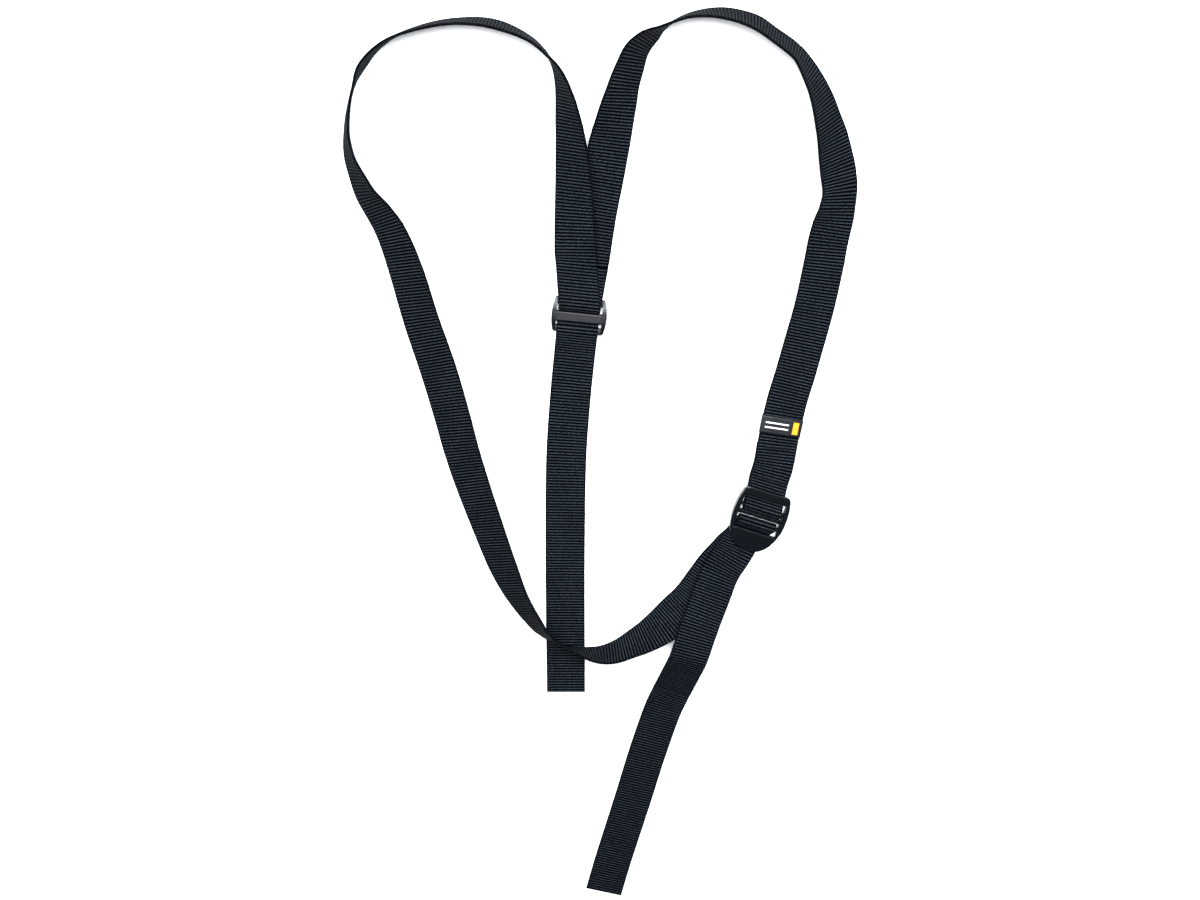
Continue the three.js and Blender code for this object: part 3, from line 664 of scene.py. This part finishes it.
def sleeve_piece(name, strip, start, stop):
    """The label: a flat woven sleeve round the webbing, with soft folds at its sides."""
    inner_side = WEBBING_WIDTH / 2 + LABEL_EASE
    inner_height = HALF_THICKNESS + LABEL_EASE
    loops = []
    for grow in (LABEL_THICKNESS / 2, 0.0):
        side, height = inner_side + grow, inner_height + grow
        round_edge = min(height, LABEL_FOLD + grow / 2)
        half = [
            (side, 0.0),
            (side - 0.1 * round_edge, height - 0.75 * round_edge),
            (side - 0.55 * round_edge, height - 0.15 * round_edge),
            (side - 1.3 * round_edge, height),
            (side / 3, height),
        ]
        over = half + [(-s, h) for s, h in half[::-1]]
        loops.append(over + [(-s, -h) for s, h in over[1:-1]])
    around = len(loops[0])
    stations = np.linspace(start, stop, LABEL_STEPS)
    points, spots = [], []
    for loop in loops:
        for along in stations:
            for side, height in loop:
                points.append(strip.place(along, side, height))
                spots.append((side, along - start + (0.0 if height > 0 else LABEL_UNDERSIDE)))
    faces = []
    count = len(stations)
    for layer in range(2):
        base = layer * count * around
        for i in range(count - 1):
            for k in range(around):
                here, beside = base + i * around + k, base + i * around + (k + 1) % around
                quad = [here, here + around, beside + around, beside]
                faces.append(quad if layer == 0 else quad[::-1])
    for i, flip in ((0, False), (count - 1, True)):
        for k in range(around):
            beside = (k + 1) % around
            outer = i * around
            inner = (count + i) * around
            quad = [outer + k, outer + beside, inner + beside, inner + k]
            faces.append(quad[::-1] if flip else quad)
    spots = np.array(spots)
    uvs = [spots[corner] for face in faces for corner in face]
    piece = mesh_piece(name, points, faces, uvs)
    outward(piece)
    return piece


# Materials


def linear(hex_colour):
    """sRGB hex colour as linear red, green, blue and alpha."""
    channels = [int(hex_colour[i : i + 2], 16) / 255 for i in (1, 3, 5)]
    return [c / 12.92 if c <= 0.04045 else ((c + 0.055) / 1.055) ** 2.4 for c in channels] + [1.0]


def add(tree, kind, settings=(), inputs=(), links=()):
    """Adds a node to a tree with its settings, input values and links into its inputs."""
    node = tree.nodes.new(kind)
    for key, value in dict(settings).items():
        setattr(node, key, value)
    for key, value in dict(inputs).items():
        node.inputs[key].default_value = value
    for key, socket in dict(links).items():
        tree.links.new(socket, node.inputs[key])
    return node


def finish_named(name, colour, roughness, ior, shine=0.5):
    """Material with one colour and gloss, its node tree and its shader."""
    material = bpy.data.materials.new(name)
    material.use_nodes = True
    shader = material.node_tree.nodes["Principled BSDF"]
    shader.inputs["Base Color"].default_value = linear(colour)
    shader.inputs["Roughness"].default_value = roughness
    shader.inputs["IOR"].default_value = ior
    shader.inputs["Specular IOR Level"].default_value = shine
    return material, material.node_tree, shader


def result(tree, operation, first, second=None):
    """One step of arithmetic on sockets or numbers."""
    inputs, links = {}, {}
    for place, value in enumerate((first, second)):
        if isinstance(value, float):
            inputs[place] = value
        elif value is not None:
            links[place] = value
    return add(tree, "ShaderNodeMath", {"operation": operation}, inputs, links).outputs[0]


def ramp(tree, value, low, high, start=0.0, stop=1.0, kind="LINEAR"):
    """Rises or falls from start to stop while value goes from low to high."""
    inputs = {"From Min": low, "From Max": high, "To Min": start, "To Max": stop}
    node = add(tree, "ShaderNodeMapRange", {"interpolation_type": kind}, inputs, {"Value": value})
    return node.outputs[0]


# Sockets of a colour mix, by number because its other kinds have the same names
MIX_SHARE, MIX_FIRST, MIX_SECOND, MIX_COLOUR = 0, 6, 7, 2


def mixed(tree, share, first, second):
    """Colour between two, each a hex colour or a socket."""
    inputs, links = {}, {MIX_SHARE: share}
    for place, colour in ((MIX_FIRST, first), (MIX_SECOND, second)):
        if isinstance(colour, str):
            inputs[place] = linear(colour)
        else:
            links[place] = colour
    return add(tree, "ShaderNodeMix", {"data_type": "RGBA"}, inputs, links).outputs[MIX_COLOUR]


def relief(tree, shader, height, strength, depth):
    """Fine relief on a surface, up to depth in millimetres."""
    inputs = {"Strength": strength, "Distance": depth * MM}
    bump = add(tree, "ShaderNodeBump", inputs=inputs, links={"Height": height})
    tree.links.new(bump.outputs[0], shader.inputs["Normal"])


def cloth_place(tree):
    """Place on a woven piece in millimetres, and its two parts: across and along."""
    cloth = add(tree, "ShaderNodeUVMap", {"uv_map": "cloth"}).outputs[0]
    parts = add(tree, "ShaderNodeSeparateXYZ", links={0: cloth})
    return cloth, parts.outputs[0], parts.outputs[1]


# Polyamide webbing: filament yarns woven with thick ribs across and dyed a near-black navy. The grooves
# between the ribs are painted almost black as shade, which leaves the rib tops as light lines in place
# of a sheen, and nothing on it shines.
WEBBING_LIT = "#2b3239"
WEBBING_YARN = "#0c0f13"
# Painted shade: the near-black colour of the grooves between the ribs, also used for the darker edges
WEBBING_GROOVE_SHADE = "#010102"
WEBBING_ROUGHNESS = 0.8
WEBBING_SHINE = 0.01
POLYAMIDE_IOR = 1.53
GROOVE_SHADE_WAVE = (-0.8, 0.15)
EDGE_DARKNESS = 0.75
EDGE_REACH = 0.3
YARN_WIDTH = 0.45
YARN_LENGTH = 1.6
YARN_NOISE = (0.38, 0.62)
YARN_DARKNESS = 0.8
WEAR_SCALE = 0.06
WEAR_NOISE = (0.35, 0.65)
WEAR_DARKNESS = 0.25


def polyamide_webbing():
    material, tree, shader = finish_named(
        "polyamide webbing woven in ribs", WEBBING_LIT, WEBBING_ROUGHNESS, POLYAMIDE_IOR, WEBBING_SHINE
    )
    cloth, across, along = cloth_place(tree)
    # Painted shade: a wave along the webbing that turns the grooves between the ribs almost black
    wave = result(tree, "COSINE", result(tree, "MULTIPLY", along, 2 * math.pi / RIB_PITCH))
    groove = ramp(tree, wave, *GROOVE_SHADE_WAVE, kind="SMOOTHSTEP")
    side = result(tree, "ABSOLUTE", across)
    half = WEBBING_WIDTH / 2
    edge = ramp(tree, side, half - 1.2 * SELVAGE, half - EDGE_REACH, stop=EDGE_DARKNESS)
    lay = add(
        tree,
        "ShaderNodeVectorMath",
        {"operation": "MULTIPLY"},
        {1: (1 / YARN_LENGTH, 1 / YARN_WIDTH, 0.0)},
        {0: cloth},
    )
    flat = {"noise_dimensions": "2D"}
    yarns = add(
        tree, "ShaderNodeTexNoise", flat, {"Scale": 1.0, "Detail": 3.0}, {"Vector": lay.outputs[0]}
    ).outputs[0]
    patches = add(
        tree, "ShaderNodeTexNoise", flat, {"Scale": WEAR_SCALE, "Detail": 4.0}, {"Vector": cloth}
    ).outputs[0]
    top = mixed(tree, ramp(tree, yarns, *YARN_NOISE, stop=YARN_DARKNESS), WEBBING_LIT, WEBBING_YARN)
    worn = ramp(tree, patches, *WEAR_NOISE, start=WEAR_DARKNESS, stop=0.0)
    patchy = mixed(tree, worn, top, WEBBING_YARN)
    # Painted shade in the grooves between the ribs; the colour also grows darker towards the edges
    colour = mixed(tree, result(tree, "MAXIMUM", groove, edge), patchy, WEBBING_GROOVE_SHADE)
    tree.links.new(colour, shader.inputs["Base Color"])
    relief(tree, shader, yarns, 0.35, 0.15)
    return material


# Acetal, moulded in a polished tool for the slide and in a finely etched one for the ladder lock. It is
# black and a little waxy, so its edges show as soft grey lines and its faces stay dark.
ACETAL_IOR = 1.48
ACETAL_RIPPLE = 260.0


def moulded_acetal(name, colour, roughness, shine):
    material, tree, shader = finish_named(name, colour, roughness, ACETAL_IOR, shine)
    place = {"Vector": add(tree, "ShaderNodeTexCoord").outputs["Object"]}
    ripple = add(tree, "ShaderNodeTexNoise", (), {"Scale": ACETAL_RIPPLE, "Detail": 2.0}, place)
    relief(tree, shader, ripple.outputs[0], 0.12, 0.2)
    return material


# Polyester satin, woven as a label: fine black warp with a soft gloss. Two pale lines and one amber
# block are woven in. Each mark has its colour, its sides across and its run along the webbing.
LABEL_BLACK = "#080b0f"
LABEL_PALE = "#d9dde0"
LABEL_AMBER = "#e0921e"
LABEL_MARKS = [
    (LABEL_PALE, (-4.5, 10.0), (6.6, 7.5)),
    (LABEL_PALE, (-4.5, 10.0), (3.6, 4.5)),
    (LABEL_AMBER, (-10.6, -7.2), (1.6, 9.4)),
]
LABEL_ROUGHNESS = 0.42
LABEL_SHINE = 0.2
POLYESTER_IOR = 1.55
WEAVE_SCALE = 0.9


def band(tree, value, low, high):
    """1 where value is between low and high, else 0."""
    above = result(tree, "GREATER_THAN", value, low)
    below = result(tree, "LESS_THAN", value, high)
    return result(tree, "MULTIPLY", above, below)


def woven_satin():
    material, tree, shader = finish_named(
        "polyester satin, woven label", LABEL_BLACK, LABEL_ROUGHNESS, POLYESTER_IOR, LABEL_SHINE
    )
    cloth, across, along = cloth_place(tree)
    colour = LABEL_BLACK
    for tone, sides, run in LABEL_MARKS:
        inside = result(tree, "MULTIPLY", band(tree, across, *sides), band(tree, along, *run))
        colour = mixed(tree, inside, colour, tone)
    tree.links.new(colour, shader.inputs["Base Color"])
    rows = {"wave_type": "BANDS", "bands_direction": "Y"}
    weave = add(tree, "ShaderNodeTexWave", rows, {"Scale": WEAVE_SCALE}, {"Vector": cloth})
    relief(tree, shader, weave.outputs[0], 0.3, 0.1)
    return material


# Bonded polyamide sewing thread: black and almost matt, a fine line on the ribs.
def bonded_thread():
    return finish_named("bonded polyamide thread", "#050709", 0.6, POLYAMIDE_IOR, 0.1)[0]


# Matt white paint, which gives the pale and even ground.
def painted_surface():
    return finish_named("matt white paint", "#fbfbfb", 0.9, 1.45)[0]


# Building

SOFT_EDGE = 0.35
SOFT_EDGE_STEPS = 3
SOFTENED_FROM = math.radians(32)


def dress(piece, material, slot, *nodes):
    """Gives a piece its material, and puts it in the place of the part's nodes."""
    piece.data.materials.clear()
    piece.data.materials.append(material)
    if nodes:
        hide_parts(*nodes)
    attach(piece, "root")


def polish(node, material):
    """Gives a moulded CAD piece its material and softens its edges, without changing its mesh."""
    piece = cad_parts[node]
    for slot in piece.material_slots:
        slot.material = material
    soften = piece.modifiers.new("soft edges", "BEVEL")
    soften.width = SOFT_EDGE * MM
    soften.segments = SOFT_EDGE_STEPS
    soften.limit_method = "ANGLE"
    soften.angle_limit = SOFTENED_FROM
    soften.harden_normals = False
    smooth = piece.modifiers.new("even shading", "WEIGHTED_NORMAL")
    smooth.keep_sharp = False


def build_harness():
    webbing = polyamide_webbing()
    long_woven = webbing_piece("long_webbing_woven", Strip(long_route(), RIB_STEP))
    dress(long_woven, webbing, "webbing", "long_webbing", "front_tail")
    right_woven = webbing_piece("right_webbing_woven", Strip(right_route(), RIB_STEP))
    dress(right_woven, webbing, "webbing", "right_webbing")

    arm = Strip(right_arm(), RIB_STEP)
    middles = (TACK_FROM_LOCK, LOCK_FOLD - TACK_FROM_END)
    sewn = [run for at in zip(middles, TACK_LENGTHS) for run in bar_tack(arm, *at)]
    dress(thread_piece("arm_stitches", sewn), bonded_thread(), "webbing")

    start = LOCK_FOLD + LABEL_GAP
    sleeve = sleeve_piece("label_sleeve", arm, start, start + LABEL_LENGTH)
    dress(sleeve, woven_satin(), "label", "woven_label")

    polish("three_bar_slide", moulded_acetal("moulded acetal, glossy", "#090c11", 0.3, 0.2))
    polish("ladder_lock", moulded_acetal("moulded acetal, satin", "#03060a", 0.26, 0.16))


# Studio, in metres: a high softbox beyond the loops lights the webbing's faces, the narrow strip
# overhead draws the line on the slide, and one strip on each side picks out the edges. Each light has
# its place, its size and its watts.
LIGHTS = {
    "high softbox": ((0.0, 0.66, 1.2), (0.9, 0.6), 62.0),
    "overhead strip": ((0.0, -0.19, 1.25), (0.6, 0.07), 4.0),
    "left strip": ((-1.0, 0.1, 0.55), (0.16, 0.9), 3.0),
    "right strip": ((1.0, 0.1, 0.55), (0.16, 0.9), 3.0),
}
LIGHT_COLOUR = (0.95, 0.975, 1.0)
SURROUND = (1.0, 1.0, 1.0, 1.0)
SURROUND_STRENGTH = 0.1
FLOOR_HALF = 6.0
FLOOR_DROP = 0.25


def soft_light(name, place, size, watts):
    """A rectangular softbox that faces the harness."""
    light = bpy.data.lights.new(name, "AREA")
    light.shape = "RECTANGLE"
    light.size, light.size_y = size
    light.energy = watts
    light.color = LIGHT_COLOUR
    lamp = bpy.data.objects.new(name, light)
    lamp.location = place
    lamp.rotation_euler = Vector(place).to_track_quat("Z", "Y").to_euler()
    bpy.context.collection.objects.link(lamp)


def build_studio():
    corners = np.array([[-1, -1, 0], [1, -1, 0], [1, 1, 0], [-1, 1, 0]]) * FLOOR_HALF / MM
    floor = mesh_piece("studio_surface", corners - SHIFT - UP * FLOOR_DROP, [[0, 1, 2, 3]], smooth=False)
    floor.data.materials.append(painted_surface())

    world = bpy.data.worlds.new("studio")
    world.use_nodes = True
    background = world.node_tree.nodes["Background"]
    background.inputs["Color"].default_value = SURROUND
    background.inputs["Strength"].default_value = SURROUND_STRENGTH
    scene = bpy.context.scene
    scene.world = world

    for name, light in LIGHTS.items():
        soft_light(name, *light)

    scene.view_settings.view_transform = "Standard"
    scene.view_settings.look = "None"


def build_camera():
    lens = bpy.data.cameras.new("camera")
    lens.lens = CAMERA_LENS
    lens.sensor_width = CAMERA_SENSOR
    camera = bpy.data.objects.new("camera", lens)
    away = np.array([0.0, math.sin(CAMERA_TILT), math.cos(CAMERA_TILT)]) * CAMERA_DISTANCE
    camera.location = (away + SHIFT) * MM
    camera.rotation_euler = (-CAMERA_TILT, 0.0, 0.0)
    bpy.context.collection.objects.link(camera)
    bpy.context.scene.camera = camera


build_camera()
build_harness()
build_studio()
